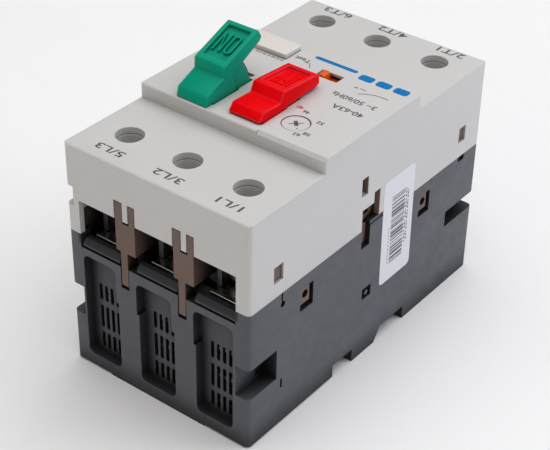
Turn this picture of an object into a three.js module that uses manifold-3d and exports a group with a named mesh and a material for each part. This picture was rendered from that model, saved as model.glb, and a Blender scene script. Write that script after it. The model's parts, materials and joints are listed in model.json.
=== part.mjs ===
// Three-pole motor protection breaker with two rocker levers, built as an assembly of separate pieces.
// Millimetres.
// +Z points out of the front, away from the mounting rail, and +Y from the line end to the load end.
import * as THREE from 'three';
import { mergeVertices } from 'three/addons/utils/BufferGeometryUtils.js';
import Module from 'manifold-3d';

const wasm = await Module();
wasm.setup();

// ---------------------------------------------------------------- driving dimensions
const WIDTH = 70;
const LENGTH = 122;
const PARTING_Z = 50; // base below, cover above
const PLATFORM_Z = 80.5; // top of the cover over the terminals
const CENTRE_Z = 85.5; // top of the raised middle of the cover
const CENTRE_Y = [-27, 21.5]; // the raised middle, front to rear
const CENTRE_FRONT_WALL = 0.9; // wall between the levers and the front edge
const POLE_PITCH = 22.3;
const WALL = 2;
const GAP = 0.3; // clearance between neighbouring pieces
const CORNER = 1.6; // radius of the housing's upright edges

const RAIL_Y = [-18.4, 21]; // channel for the mounting rail
const RAIL_DEPTH = 5;
const FLOOR = 2.2; // inner floor beside the channel
const FLOOR_OVER_RAIL = 7.2;
const END_WALL = 4.6; // thickness of the base's end walls, vent recess included
const PARTITION = 1.6; // wall between two poles
const PARTITION_TOP = 37;

const WINDOW = { x0: -29.9, x1: 30.1, top: 62 }; // wire window in each end of the cover
const LIP_TOP = 48.4;
const END_WALL_TOP = 45.2;
const SCREW_Y = { line: -45.8, load: 49.4 };
const SCREW_HOLE_R = 4.5;
const BAR_TOP = 48.8; // contact face of a terminal bar
const BAR_T = 2.2;
const BAR_HALF = 5.2;
const CAGE = { half: 5.1, wall: 1.8, bottom: 43.8, top: 64.5, plate: 3 };
const PAD = { z: 50.4, t: 1.8 };
const SCREW = { r: 2.8, head_r: 3.6, head_z: 65.2, head_h: 4 };

const FORK_X = [-11.2, 11.2]; // barriers between the terminals
const LEVER_PIVOT = { y: -24.2, z: 81 };
const LEVER_THROW = 25; // degrees between pressed and raised
const LEVER_W = 11.6;
const LEVER_SKIRT_W = 10.6;
const LEVER_SKIRT_R = 19.7;
const LEVER_HUB_R = 1.6;
const PIN_R = 0.7;
const ON_X = -15.15;
const OFF_X = 3.1;
const DIAL = { x: 16.2, y: -16.2, r: 4.25, angle: -48 };
const CONTACT_TRAVEL = 3.5;
const FIXED_CONTACT_Z = 17.4;

const HX = WIDTH / 2;
const HY = LENGTH / 2;
const POLES = [POLE_PITCH, 0, -POLE_PITCH]; // pole 1 is on +X
const ENDS = [
  { name: 'line', s: -1, screwY: SCREW_Y.line },
  { name: 'load', s: 1, screwY: SCREW_Y.load },
];

// ---------------------------------------------------------------- colours
const LIGHT_GREY = { color: 0xd2d2d0, roughness: 0.5, metalness: 0 };
const DARK_GREY = { color: 0x565a62, roughness: 0.6, metalness: 0 };
const BROWN = { color: 0x65564b, roughness: 0.6, metalness: 0 };
const GREEN = { color: 0x008a70, roughness: 0.4, metalness: 0 };
const RED = { color: 0xe6000a, roughness: 0.4, metalness: 0 };
const ORANGE = { color: 0xd2500c, roughness: 0.45, metalness: 0 };
const WHITE = { color: 0xe6e3de, roughness: 0.5, metalness: 0 };
const BLACK = { color: 0x26272a, roughness: 0.6, metalness: 0 };
const STEEL = { color: 0xb4b6b8, roughness: 0.35, metalness: 0.9 };
const COPPER = { color: 0xb87048, roughness: 0.4, metalness: 0.9 };

// ---------------------------------------------------------------- helpers
function solid(geometry) {
  const g = geometry.clone();
  g.deleteAttribute('normal');
  g.deleteAttribute('uv');
  const merged = mergeVertices(g, 1e-4);
  const vertProperties = new Float32Array(merged.attributes.position.array);
  const triVerts = new Uint32Array(merged.index.array);
  return new wasm.Manifold(new wasm.Mesh({ numProp: 3, vertProperties, triVerts }));
}

function geometryOf(manifold) {
  const mesh = manifold.getMesh();
  const g = new THREE.BufferGeometry();
  g.setAttribute('position', new THREE.BufferAttribute(new Float32Array(mesh.vertProperties), 3));
  g.setIndex(new THREE.BufferAttribute(new Uint32Array(mesh.triVerts), 1));
  const flat = g.toNonIndexed();
  flat.computeVertexNormals();
  return flat;
}

function box(x, y, z) {
  const g = new THREE.BoxGeometry(x[1] - x[0], y[1] - y[0], z[1] - z[0]);
  g.translate((x[0] + x[1]) / 2, (y[0] + y[1]) / 2, (z[0] + z[1]) / 2);
  return solid(g);
}

function around(centre, half) {
  return [centre - half, centre + half];
}

function extruded(points, depth) {
  const shape = new THREE.Shape(points.map(([a, b]) => new THREE.Vector2(a, b)));
  return new THREE.ExtrudeGeometry(shape, { depth, bevelEnabled: false });
}

// An outline in (Y, Z), extruded along X.
function prismX(points, x) {
  const g = extruded(points, x[1] - x[0]);
  const turn = new THREE.Matrix4().makeBasis(
    new THREE.Vector3(0, 1, 0),
    new THREE.Vector3(0, 0, 1),
    new THREE.Vector3(1, 0, 0),
  );
  g.applyMatrix4(turn);
  g.translate(x[0], 0, 0);
  return solid(g);
}

// An outline in (X, Z), extruded along Y.
function prismY(points, y) {
  const g = extruded(points, y[1] - y[0]);
  g.rotateX(Math.PI / 2);
  g.translate(0, y[1], 0);
  return solid(g);
}

// An outline in (X, Y), extruded along Z.
function prismZ(points, z) {
  const g = extruded(points, z[1] - z[0]);
  g.translate(0, 0, z[0]);
  return solid(g);
}

function arc(cx, cy, r, from, to, steps) {
  const points = [];
  for (let i = 0; i <= steps; i += 1) {
    const a = THREE.MathUtils.degToRad(from + ((to - from) * i) / steps);
    points.push([cx + r * Math.cos(a), cy + r * Math.sin(a)]);
  }
  return points;
}

function roundedRect(a, b, r, steps = 3) {
  return [
    ...arc(a[1] - r, b[0] + r, r, -90, 0, steps),
    ...arc(a[1] - r, b[1] - r, r, 0, 90, steps),
    ...arc(a[0] + r, b[1] - r, r, 90, 180, steps),
    ...arc(a[0] + r, b[0] + r, r, 180, 270, steps),
  ];
}

// A cylinder along the 'x' or 'z' axis, at the other two coordinates of its centre line.
function cylinder(axis, r, span, at, segments = 24) {
  const g = new THREE.CylinderGeometry(r, r, span[1] - span[0], segments);
  const middle = (span[0] + span[1]) / 2;
  if (axis === 'z') {
    g.rotateX(Math.PI / 2);
    g.translate(at[0], at[1], middle);
  } else {
    g.rotateZ(-Math.PI / 2);
    g.translate(middle, at[0], at[1]);
  }
  return solid(g);
}

// A closed ring turned about Z from a profile in (radius, Z).
function turned(profile, x, y, segments = 24) {
  const points = [...profile, profile[0]].map(([r, z]) => new THREE.Vector2(r, z));
  const g = new THREE.LatheGeometry(points, segments);
  g.rotateX(Math.PI / 2);
  g.translate(x, y, 0);
  return solid(g);
}

class Helix extends THREE.Curve {
  constructor(radius, length, turns) {
    super();
    this.radius = radius;
    this.length = length;
    this.turns = turns;
  }

  getPoint(t, target = new THREE.Vector3()) {
    const a = 2 * Math.PI * this.turns * t;
    return target.set(this.radius * Math.cos(a), this.radius * Math.sin(a), this.length * t);
  }
}

// A coil spring standing on the origin along +Z.
function springGeometry(radius, wire, length, turns) {
  const section = new THREE.Shape(arc(0, 0, wire / 2, 0, 270, 3).map(([a, b]) => new THREE.Vector2(a, b)));
  return new THREE.ExtrudeGeometry(section, {
    steps: turns * 8,
    extrudePath: new Helix(radius, length, turns),
    bevelEnabled: false,
  });
}

const root = new THREE.Group();

function add(name, shape, look, place = {}) {
  const geometry = shape.isBufferGeometry ? shape : geometryOf(shape);
  const mesh = new THREE.Mesh(geometry, new THREE.MeshStandardMaterial(look));
  mesh.name = name;
  mesh.position.set(...(place.position ?? [0, 0, 0]));
  mesh.rotation.set(...(place.rotation ?? [0, 0, 0]));
  root.add(mesh);
}

function joined(parts) {
  return parts.reduce((all, part) => all.add(part));
}

function cut(body, cutters) {
  return cutters.reduce((rest, cutter) => rest.subtract(cutter), body);
}

// The same solid on both sides of the X = 0 plane.
function bothSides(make) {
  return [make(1), make(-1)];
}

function sideX(side, inner, outer) {
  return side > 0 ? [inner, outer] : [-outer, -inner];
}

function endY(end, inner, outer) {
  return end.s > 0 ? [inner, outer] : [-outer, -inner];
}

// ---------------------------------------------------------------- base housing
// Each vent recess shifts a little towards -X above the step.
const VENT_PANELS = [
  { low: [-29.3, -15.5], high: [-29.3, -16.3], top: 42.7, slots: -22.6 },
  { low: [-7.2, 6.8], high: [-8.1, 5.7], top: 41.6, slots: -0.3 },
  { low: [15.1, 29.1], high: [14.2, 29.1], top: 42.7, slots: 22.1 },
];
const VENT_BOTTOM = 5;
const VENT_STEP_Z = 30.5;
const VENT_CORNER = 2;
const VENT_DEPTH = 3.4;
const VENT_PITCH = 2.3;
const VENT_HALF = 0.66;
const VENT_ROWS = [
  [6.2, 12.4],
  [14.2, 23],
  [25.1, 31.3],
];
const LIPS = [
  [-29.2, -14.3],
  [-7.5, 8.1],
  [14.9, 29.8],
];

function endFaceCuts(end) {
  const cuts = [];
  const recess = endY(end, HY - VENT_DEPTH, HY + 1);
  const through = endY(end, HY - END_WALL - 0.5, HY + 1);
  for (const panel of VENT_PANELS) {
    const low = prismY(roundedRect(panel.low, [VENT_BOTTOM, panel.top], VENT_CORNER), recess);
    const high = prismY(roundedRect(panel.high, [VENT_BOTTOM, panel.top], VENT_CORNER), recess);
    cuts.push(low.intersect(box([-HX, HX], recess, [0, VENT_STEP_Z])));
    cuts.push(high.intersect(box([-HX, HX], recess, [VENT_STEP_Z - 0.5, PARTING_Z])));
    for (let column = 0; column < 4; column += 1) {
      const x = panel.slots + (column - 1.5) * VENT_PITCH;
      for (const row of VENT_ROWS) {
        cuts.push(prismY(roundedRect(around(x, VENT_HALF), row, 0.6, 2), through));
      }
    }
  }
  cuts.push(box([-30, 30], through, [END_WALL_TOP, PARTING_Z + 1]));
  for (const x of FORK_X) {
    cuts.push(box([x - 2.7, x + 0.5], through, [37.5, END_WALL_TOP + 1]));
  }
  return cuts;
}

function lip(end, x) {
  const y = (v) => end.s * (HY - v);
  const outline = [
    [y(1.2), 44.6],
    [y(1.2), 45.9],
    [y(0.1), 46.1],
    [y(0.5), 47.4],
    [y(1.6), LIP_TOP],
    [y(3.2), LIP_TOP],
    [y(3.2), 44.6],
  ];
  return prismX(end.s > 0 ? outline.reverse() : outline, x);
}

function cornerBlocks(end) {
  const z = end.s < 0 ? [17.2, 31.8] : [23.2, 32.8];
  const inner = end.s < 0 ? 46 : 41.6;
  return bothSides((side) => box(sideX(side, 28.2, HX - 1), endY(end, inner, HY - 4), z));
}

function cornerNotches(end) {
  const z = end.s < 0 ? [19, 30] : [25, 31];
  const inner = end.s < 0 ? 47.8 : 43.4;
  const notches = bothSides((side) => box(sideX(side, 30, HX + 1), endY(end, inner, HY + 1), z));
  const low = [z[0] + 1, z[1] - 1];
  const pockets = bothSides((side) => box(sideX(side, 29.2, HX), endY(end, inner, inner + 4), low));
  return [...notches, ...pockets];
}

function sideCuts() {
  const wall = (side) => sideX(side, HX - WALL - 1, HX + 1);
  const shallow = (side) => sideX(side, HX - 0.9, HX + 1);
  return [
    ...bothSides((side) => box(wall(side), [-37, -30.7], [37.5, 45.7])),
    ...bothSides((side) => box(wall(side), [25.7, 32], [38, 46])),
    ...bothSides((side) => box(wall(side), [-6.3, -1.9], [43, PARTING_Z + 2])),
    ...bothSides((side) => box(sideX(side, HX - 1.7, HX + 1), [-4.2, 0.5], [22.3, 26.4])),
    ...bothSides((side) => box(shallow(side), [-45.9, -45], [14.3, 17.6])),
    ...bothSides((side) => box(shallow(side), [-46.2, -45.5], [46.6, PARTING_Z + 1])),
    ...bothSides((side) => cylinder('x', 1.05, shallow(side), [-45.5, 45.7], 12)),
    ...bothSides((side) => box(shallow(side), [48.4, 51.9], [48, PARTING_Z + 1])),
  ];
}

function latchGroove() {
  const y = [RAIL_Y[1] - 1, HY + 1];
  return [box([-6.3, 6.3], y, [-1, 1.6]), box([-8.3, 8.3], y, [1.4, 4.2])];
}

function baseHousing() {
  const profile = [
    [-HY, 0],
    [RAIL_Y[0], 0],
    [RAIL_Y[0], RAIL_DEPTH],
    [-8, RAIL_DEPTH],
    [-8, 0],
    [4.3, 0],
    [7.8, RAIL_DEPTH],
    [RAIL_Y[1], RAIL_DEPTH],
    [RAIL_Y[1], 0],
    [HY, 0],
    [HY, PARTING_Z],
    [-HY, PARTING_Z],
  ];
  const plan = prismZ(roundedRect([-HX, HX], [-HY, HY], CORNER), [0, PARTING_Z]);
  const block = prismX(profile, [-HX, HX]).intersect(plan);
  const inner = HX - WALL;
  const depth = HY - END_WALL;
  const chamberOutline = [
    [-depth, FLOOR],
    [RAIL_Y[0] - WALL, FLOOR],
    [RAIL_Y[0] - WALL, FLOOR_OVER_RAIL],
    [depth, FLOOR_OVER_RAIL],
    [depth, PARTING_Z + 1],
    [-depth, PARTING_Z + 1],
  ];
  const edge = POLE_PITCH / 2;
  const half = PARTITION / 2;
  const chambers = [
    prismX(chamberOutline, [-inner, -edge - half]),
    prismX(chamberOutline, [-edge + half, edge - half]),
    prismX(chamberOutline, [edge + half, inner]),
    box([-inner, inner], [-depth, depth], [PARTITION_TOP, PARTING_Z + 1]),
  ];
  const shell = joined([cut(block, chambers), ...ENDS.flatMap(cornerBlocks)]);
  const feet = bothSides((side) => box(
    side > 0 ? [18, HX + 1] : [-HX - 1, -20],
    [-HY - 1, RAIL_Y[0] + 1],
    [-1, 0.6],
  ));
  const opened = cut(shell, [
    ...ENDS.flatMap(endFaceCuts),
    ...ENDS.flatMap(cornerNotches),
    ...sideCuts(),
    ...latchGroove(),
    ...feet,
  ]);
  return joined([
    opened,
    ...ENDS.flatMap((end) => LIPS.map((x) => lip(end, x))),
    ...bothSides((side) => box(sideX(side, HX - WALL, HX - 0.3), [-1.8, 4.7], [PARTING_Z - 1, 51.4])),
    ...bothSides((side) => cylinder('x', 0.9, sideX(side, HX - 1.9, HX - 0.1), [-1.85, 24.35], 12)),
    ...bothSides((side) => box(sideX(side, 8, 20), [RAIL_Y[0] - 1, RAIL_Y[0] + 2], [1.6, 3.7])),
    box([-2.5, 2.5], [43.5, 45.5], [0.9, 5]),
  ]);
}
add('base_housing', baseHousing(), DARK_GREY);

// ---------------------------------------------------------------- front cover
const COVER_TUBE_R = 6.2;
const COVER_TUBE_Z = 70;
const END_EDGE_R = 1; // rounding of the cover's upper edges over the windows
const SIDE_EDGE_R = 0.5;
const CENTRE_CORNER = 0.8;
const SLIDER_SLOT = { x: [3, 11.2], y: [10.7, 15], wall: 0.9 };
const HOLE_STEP = { depth: 2.1, r: 4.25, groove_r: 4.75, groove_h: 0.3 };

// The way for a screwdriver: the hole in the cover's wall, a fine groove and the tube under it.
function screwHole(at) {
  const step = PLATFORM_Z - HOLE_STEP.depth;
  return [
    cylinder('z', HOLE_STEP.r, [COVER_TUBE_Z - 1, PLATFORM_Z], at),
    cylinder('z', HOLE_STEP.groove_r, [step - HOLE_STEP.groove_h, step], at),
    cylinder('z', SCREW_HOLE_R, [step - HOLE_STEP.groove_h, PLATFORM_Z + 1], at),
  ];
}

// An outline with both upper corners rounded.
function domed(a, b, r) {
  return [
    [a[0], b[0]],
    [a[1], b[0]],
    ...arc(a[1] - r, b[1] - r, r, 0, 90, 3),
    ...arc(a[0] + r, b[1] - r, r, 90, 180, 3),
  ];
}

function terminalBlock() {
  const z = [PARTING_Z, PLATFORM_Z];
  const plan = prismZ(roundedRect([-HX, HX], [-HY, HY], CORNER), z);
  const alongX = prismX(domed([-HY, HY], z, END_EDGE_R), [-HX, HX]);
  const alongY = prismY(domed([-HX, HX], z, SIDE_EDGE_R), [-HY, HY]);
  return plan.intersect(alongX).intersect(alongY);
}

function centreBlock() {
  const [y0, y1] = CENTRE_Y;
  const z = [PLATFORM_Z - 1, CENTRE_Z];
  const profile = (chamfer) => [
    [y0, z[0]],
    [y1, z[0]],
    [y1, CENTRE_Z - 0.4],
    [y1 - 0.4, CENTRE_Z],
    [y0 + chamfer, CENTRE_Z],
    [y0, CENTRE_Z - chamfer],
  ];
  const left = prismX(profile(0.4), [-HX, 10]);
  const right = prismX(profile(1.05), [9.7, HX]);
  const plan = prismZ(roundedRect([-HX, HX], [y0, y1 + 5], CENTRE_CORNER), z);
  const alongY = prismY(domed([-HX, HX], z, SIDE_EDGE_R), CENTRE_Y);
  return left.add(right).intersect(plan).intersect(alongY);
}

function leverOpening(x) {
  const z = [CENTRE_Z - WALL - 1, CENTRE_Z + 1];
  return [
    box(around(x, 6.05), [LEVER_PIVOT.y + 0.75, -11], z),
    box(around(x, 5.6), [-11.5, -3.85], z),
    box(around(x, 4.2), [-4.2, -1.2], z),
  ];
}

function coverEndCuts(end) {
  const through = endY(end, HY - WALL - 0.5, HY + 1);
  const cuts = [box([WINDOW.x0, WINDOW.x1], through, [PARTING_Z - 1, WINDOW.top])];
  for (const x of FORK_X) {
    cuts.push(box([x - 4.4, x - 1.1], through, [WINDOW.top - 1, 68.5]));
    cuts.push(box([x + 0.9, x + 3.7], through, [WINDOW.top - 1, 68.5]));
  }
  return cuts;
}

function coverSideCuts() {
  const wall = (side) => sideX(side, HX - WALL - 1, HX + 1);
  const step = [
    [-6.6, 50.5],
    [2.6, 50.5],
    [2.6, 61.3],
    [-0.6, 61.3],
    [-0.6, 57.5],
    [-6.6, 57.5],
  ];
  return [
    ...bothSides((side) => box(wall(side), [-50, -45.7], [55, 60.8])),
    ...bothSides((side) => box(wall(side), [47.4, 51.3], [55.6, 61.2])),
    ...bothSides((side) => box(wall(side), [-7.6, -4.3], [62.7, 69.1])),
    ...bothSides((side) => prismX(step, wall(side))),
    ...bothSides((side) => box(wall(side), [-6.6, 5.1], [PARTING_Z - 1, 51.7])),
  ];
}

function frontCover() {
  const outer = joined([terminalBlock(), centreBlock()]);
  const inner = HX - WALL;
  const cavity = box([-inner, inner], around(0, HY - WALL), [PARTING_Z - 1, PLATFORM_Z - WALL]);
  const attic = box(
    [-inner, inner],
    [CENTRE_Y[0] + CENTRE_FRONT_WALL, CENTRE_Y[1] - WALL],
    [PLATFORM_Z - WALL - 1, CENTRE_Z - WALL],
  );
  const spots = ENDS.flatMap((end) => POLES.map((x) => [x, end.screwY]));
  const tubeZ = [COVER_TUBE_Z, PLATFORM_Z - 1];
  const tubes = spots.map((at) => cylinder('z', COVER_TUBE_R, tubeZ, at, 16));
  const notchBlock = box([-HX + 1, -31], [-HY + 1, -54], [57.3, 68]);
  const shell = joined([cut(outer, [cavity, attic]), ...tubes, notchBlock]);
  const top = [CENTRE_Z - WALL - 1, CENTRE_Z + 1];
  return cut(shell, [
    ...spots.flatMap(screwHole),
    ...ENDS.flatMap(coverEndCuts),
    ...coverSideCuts(),
    ...leverOpening(ON_X),
    ...leverOpening(OFF_X),
    cylinder('z', DIAL.r + GAP, top, [DIAL.x, DIAL.y], 32),
    box(SLIDER_SLOT.x, SLIDER_SLOT.y, top),
    box([SLIDER_SLOT.x[0] - 2, SLIDER_SLOT.x[1] + 1.5], [9.3, 16.4], [top[0], CENTRE_Z - SLIDER_SLOT.wall]),
    box([-28.3, -9.7], [12.6, CENTRE_Y[1] + 1], [CENTRE_Z - 0.8, CENTRE_Z + 1]),
    box([-HX - 1, -32], [-HY - 1, -56.5], [59.3, 66]),
  ]);
}
add('front_cover', frontCover(), LIGHT_GREY);

// ---------------------------------------------------------------- inner frame with terminal barriers
const FRAME_IN = 31;
const FRAME_OUT = 32.6;
const DECK_Z = [65, 67];
const DECK_HOLE_R = 4.1;
const BOSS_HOLE_R = 1.4;

function barrier(end, x) {
  const face = HY - 0.1;
  const body = box([x - 4.1, x + 3.4], endY(end, 37.2, face), [51, 61.2]);
  const wall = box([x - 4.1, x + 3.4], endY(end, 37.2, HY - WALL - GAP), [60, DECK_Z[0] + 1]);
  const hollow = box([x - 2.5, x + 1.8], endY(end, 43.4, 56.4), [50, 63]);
  const prongs = [
    box([x - 4.1, x - 1.4], endY(end, HY - WALL - 1, face), [60, 68.2]),
    box([x + 1.2, x + 3.4], endY(end, HY - WALL - 1, face), [60, 68.2]),
  ];
  const tongue = box([x - 2.4, x + 0.2], endY(end, 56.7, face), [38.7, 52]);
  return cut(joined([body, wall]), [hollow]).add(joined([...prongs, tongue]));
}

function deck(end) {
  const inner = end.s < 0 ? 36.8 : 41;
  const through = [DECK_Z[0] - 1, DECK_Z[1] + 1];
  const holes = POLES.map((x) => cylinder('z', DECK_HOLE_R, through, [x, end.screwY], 16));
  const plate = box([-FRAME_IN - 0.5, FRAME_IN + 0.5], endY(end, inner, 58.7), DECK_Z);
  const wall = box([-FRAME_IN - 0.5, FRAME_IN + 0.5], endY(end, inner, inner + 1.7), [49.6, DECK_Z[1]]);
  return cut(plate.add(wall), holes);
}

function latchBosses(side) {
  const block = (y, z, outer) => box(sideX(side, FRAME_OUT - 0.5, outer), y, z);
  const holed = (y, z, hole) => (
    block(y, z, 34.6).subtract(cylinder('x', BOSS_HOLE_R, sideX(side, FRAME_IN + 1, HX + 1), hole, 12))
  );
  return [
    holed([-36.7, -32.2], [39.5, 45.4], [-34.3, 42.7]),
    holed([26, 30.5], [40, 45.7], [28.4, 43]),
    block([-49.7, -46], [55.3, 60.5], 34.3),
    block([47.7, 51], [55.9, 60.9], 34.3),
  ];
}

function innerFrame() {
  const walls = bothSides((side) => joined([
    box(sideX(side, FRAME_IN, FRAME_OUT), around(0, 56.1), [38, 51]),
    box(sideX(side, FRAME_IN, FRAME_OUT), around(0, 58.7), [50.4, DECK_Z[1]]),
    box(sideX(side, FRAME_IN, FRAME_OUT), [-7.4, -6], [60, 70]),
    ...latchBosses(side),
  ]));
  const barriers = ENDS.flatMap((end) => FORK_X.map((x) => barrier(end, x)));
  const body = joined([...walls, ...ENDS.map(deck), ...barriers]);
  const sideHoles = bothSides((side) => joined([
    box(sideX(side, FRAME_IN - 1, FRAME_OUT + 0.2), [-3.8, -1.2], [43.5, 50.8]),
    box(sideX(side, FRAME_IN - 1, FRAME_OUT + 0.2), [-3.4, -0.3], [53.2, 57.2]),
    box(sideX(side, FRAME_IN - 1, FRAME_OUT + 0.2), [-5.5, -0.8], [62, 66]),
  ]));
  return cut(body, [
    ...sideHoles,
    box([-33, -30.7], [-59, -53.6], [57, 69]),
  ]);
}
add('inner_frame', innerFrame(), BROWN);

// ---------------------------------------------------------------- terminals
function cageSpan(end) {
  return end.s < 0 ? [40.4, 53.6] : [43.4, 55.4];
}

function terminalBar(end, x, outline) {
  const legs = bothSides((side) => box(
    side > 0 ? [x + 3, x + BAR_HALF + 1] : [x - BAR_HALF - 1, x - 3],
    endY(end, cageSpan(end)[0] - GAP, cageSpan(end)[1] + GAP),
    [BAR_TOP - BAR_T - 1, BAR_TOP + 1],
  ));
  return cut(prismX(outline, around(x, BAR_HALF)), legs);
}

function lineBar(end, x) {
  const bottom = BAR_TOP - BAR_T;
  const outline = [
    [-57, bottom],
    [-36.2, bottom],
    [-36.2, 14],
    [-28, 14],
    [-28, 16.2],
    [-34, 16.2],
    [-34, BAR_TOP],
    [-57, BAR_TOP],
  ];
  const tip = box(around(x, 2.5), [-31.5, -28.5], [15.5, FIXED_CONTACT_Z]);
  return terminalBar(end, x, outline).add(tip);
}

function loadBar(end, x) {
  const bottom = BAR_TOP - BAR_T;
  const outline = [
    [37.8, 12],
    [40, 12],
    [40, bottom],
    [57.4, bottom],
    [57.4, BAR_TOP],
    [37.8, BAR_TOP],
  ];
  return terminalBar(end, x, outline);
}

function terminalCage(end, x) {
  const y = endY(end, ...cageSpan(end));
  const ring = box(around(x, CAGE.half), y, [CAGE.bottom, CAGE.top]);
  const plateZ = CAGE.top - CAGE.plate;
  const through = [y[0] - 1, y[1] + 1];
  const inside = box(around(x, CAGE.half - CAGE.wall), through, [CAGE.bottom + 2.4, plateZ]);
  const thread = cylinder('z', SCREW.r + GAP, [plateZ - 1, CAGE.top + 1], [x, end.screwY], 16);
  return cut(ring, [inside, thread]);
}

function terminalScrew(end, x) {
  const at = [x, end.screwY];
  const top = SCREW.head_z + SCREW.head_h;
  const shank = cylinder('z', SCREW.r, [PAD.z + PAD.t + GAP, SCREW.head_z + 0.5], at, 16);
  const head = cylinder('z', SCREW.head_r, [SCREW.head_z, top], at, 20);
  const slots = [
    box(around(x, 3), around(end.screwY, 0.5), [top - 1.8, top + 1]),
    box(around(x, 0.5), around(end.screwY, 3), [top - 1.8, top + 1]),
  ];
  return cut(shank.add(head), slots);
}

function pressurePad(end, x) {
  const y = around(end.screwY, 4.6);
  const z = [PAD.z, PAD.z + PAD.t];
  const vee = [
    [x - 1.4, PAD.z - 0.5],
    [x + 1.4, PAD.z - 0.5],
    [x, PAD.z + 0.7],
  ];
  return box(around(x, 3), y, z).subtract(prismY(vee, [y[0] - 1, y[1] + 1]));
}

for (const end of ENDS) {
  for (const [index, x] of POLES.entries()) {
    const pole = index + 1;
    add(`${end.name}_bar_${pole}`, end.s < 0 ? lineBar(end, x) : loadBar(end, x), COPPER);
    add(`${end.name}_clamp_cage_${pole}`, terminalCage(end, x), STEEL);
    add(`${end.name}_screw_${pole}`, terminalScrew(end, x), STEEL);
    add(`${end.name}_pressure_pad_${pole}`, pressurePad(end, x), STEEL);
  }
}

// ---------------------------------------------------------------- contacts, arc chutes, releases
function arcChute(x, y, z, plates) {
  const body = box(around(x, 5.5), y, z);
  const pitch = (z[1] - z[0]) / plates;
  const gaps = [];
  for (let i = 0; i < plates; i += 1) {
    const low = z[0] + 0.8 + i * pitch;
    gaps.push(box(around(x, 4.7), [y[0] - 1, y[1] + 1], [low, low + pitch - 1]));
  }
  return cut(body, gaps);
}

function magneticCoil(x) {
  const turns = 5;
  const low = 14;
  const pitch = 3.6;
  const profile = [[4, low]];
  for (let i = 0; i < turns; i += 1) {
    const z = low + i * pitch;
    profile.push([7.4, z], [7.4, z + 2.9], [6.6, z + 3.25]);
  }
  profile.push([4, low + turns * pitch]);
  const winding = turned(profile, x, 22, 12);
  const lead = box(around(x, 4), [-8, 17], [low, low + BAR_T]);
  const tip = box(around(x, 2.5), [-7.5, -4.5], [low + 1, FIXED_CONTACT_Z]);
  const tail = box(around(x, 2), [27, 34.4], [29.4, 31.6]);
  return joined([winding, lead, tip, tail]);
}

function bimetal(x) {
  const strip = box(around(x, 3.5), [34.8, 36.2], [12, 46]);
  const foot = box(around(x, 3.5), [34.8, 37.4], [12, 14]);
  const bands = [];
  for (let z = 17; z < 36; z += 2.6) {
    if (z + 1.4 < 29 || z > 32) {
      bands.push(box(around(x, 4.3), [34, 37], [z, z + 1.4]));
    }
  }
  return joined([strip, foot, ...bands]);
}

function contactBridge(x) {
  const bar = box(around(x, 3.6), [-32, -4], [22.6, 24.2]);
  const hole = box(around(x, 2.4), [-20.4, -15.6], [20, 26]);
  const tipZ = [FIXED_CONTACT_Z + CONTACT_TRAVEL + GAP, 23];
  const tips = [[-31.5, -28.5], [-7.5, -4.5]].map((y) => box(around(x, 2.4), y, tipZ));
  return joined([bar.subtract(hole), ...tips]);
}

function contactCarriage() {
  const posts = POLES.flatMap((x) => [
    box(around(x, 2), [-20, -16], [19, 46]),
    box(around(x, 3.2), [-21.2, -14.8], [19, 22.2]),
    box(around(x, 3.6), [-21.6, -14.4], [35, 36.5]),
  ]);
  const beam = box([-29.6, 29.6], [-21.5, -14.5], [44, 49]);
  const lug = box([-7.2, -4.6], [-20, -16], [48, 56.5]);
  return joined([beam, lug, ...posts]);
}

for (const [index, x] of POLES.entries()) {
  const pole = index + 1;
  add(`line_arc_chute_${pole}`, arcChute(x, [-55.5, -37.6], [3.5, 31], 8), STEEL);
  add(`inner_arc_chute_${pole}`, arcChute(x, [1.5, 13], [17.2, 32], 5), STEEL);
  add(`magnetic_coil_${pole}`, magneticCoil(x), COPPER);
  add(`bimetal_${pole}`, bimetal(x), STEEL);
  add(`contact_bridge_${pole}`, contactBridge(x), COPPER);
  add(`contact_spring_${pole}`, springGeometry(3.7, 0.7, 9, 3), STEEL, { position: [x, -18, 25.2] });
}
add('contact_carriage', contactCarriage(), BLACK);

function tripBar() {
  const y = 30;
  const z = 54;
  const shaft = cylinder('x', 1.8, [-30.6, 30.6], [y, z], 12);
  const fingers = POLES.map((x) => box(around(x, 1.4), around(y, 0.8), [43, z]));
  const arm = box([5, 7.4], around(y, 0.8), [z, 68]);
  return joined([shaft, arm, ...fingers]);
}
add('trip_bar', tripBar(), BLACK);

// ---------------------------------------------------------------- lever mechanism
const CASE_X = [-23.6, 11.2];
const CASE_Y = [-25.8, -1.9];
const CASE_Z = [58, 83.1];
const CASE_WALL = 1.6;
const PIN_BORE_R = PIN_R + GAP;

function mechanismCase() {
  const walls = [
    box([CASE_X[0], CASE_X[0] + CASE_WALL], CASE_Y, CASE_Z),
    box([CASE_X[1] - CASE_WALL, CASE_X[1]], CASE_Y, CASE_Z),
    box(CASE_X, [CASE_Y[1] - 1.5, CASE_Y[1]], CASE_Z),
    box([CASE_X[0], -9.4], [-19, -10], [CASE_Z[0], CASE_Z[0] + 1.5]),
  ];
  const tabs = [ON_X, OFF_X].map((x) => box(around(x, 3.9), [CASE_Y[1] - 1.5, CASE_Y[1]], [80, 84.9]));
  const across = [CASE_X[0] - 1, CASE_X[1] + 1];
  const bore = cylinder('x', PIN_BORE_R, across, [LEVER_PIVOT.y, LEVER_PIVOT.z], 16);
  return cut(joined([...walls, ...tabs]), [bore]);
}
add('mechanism_case', mechanismCase(), BROWN);

add(
  'lever_pivot_pin',
  cylinder('x', PIN_R, [CASE_X[0] + 0.1, CASE_X[1] - 0.1], [LEVER_PIVOT.y, LEVER_PIVOT.z], 16),
  STEEL,
);

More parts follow.
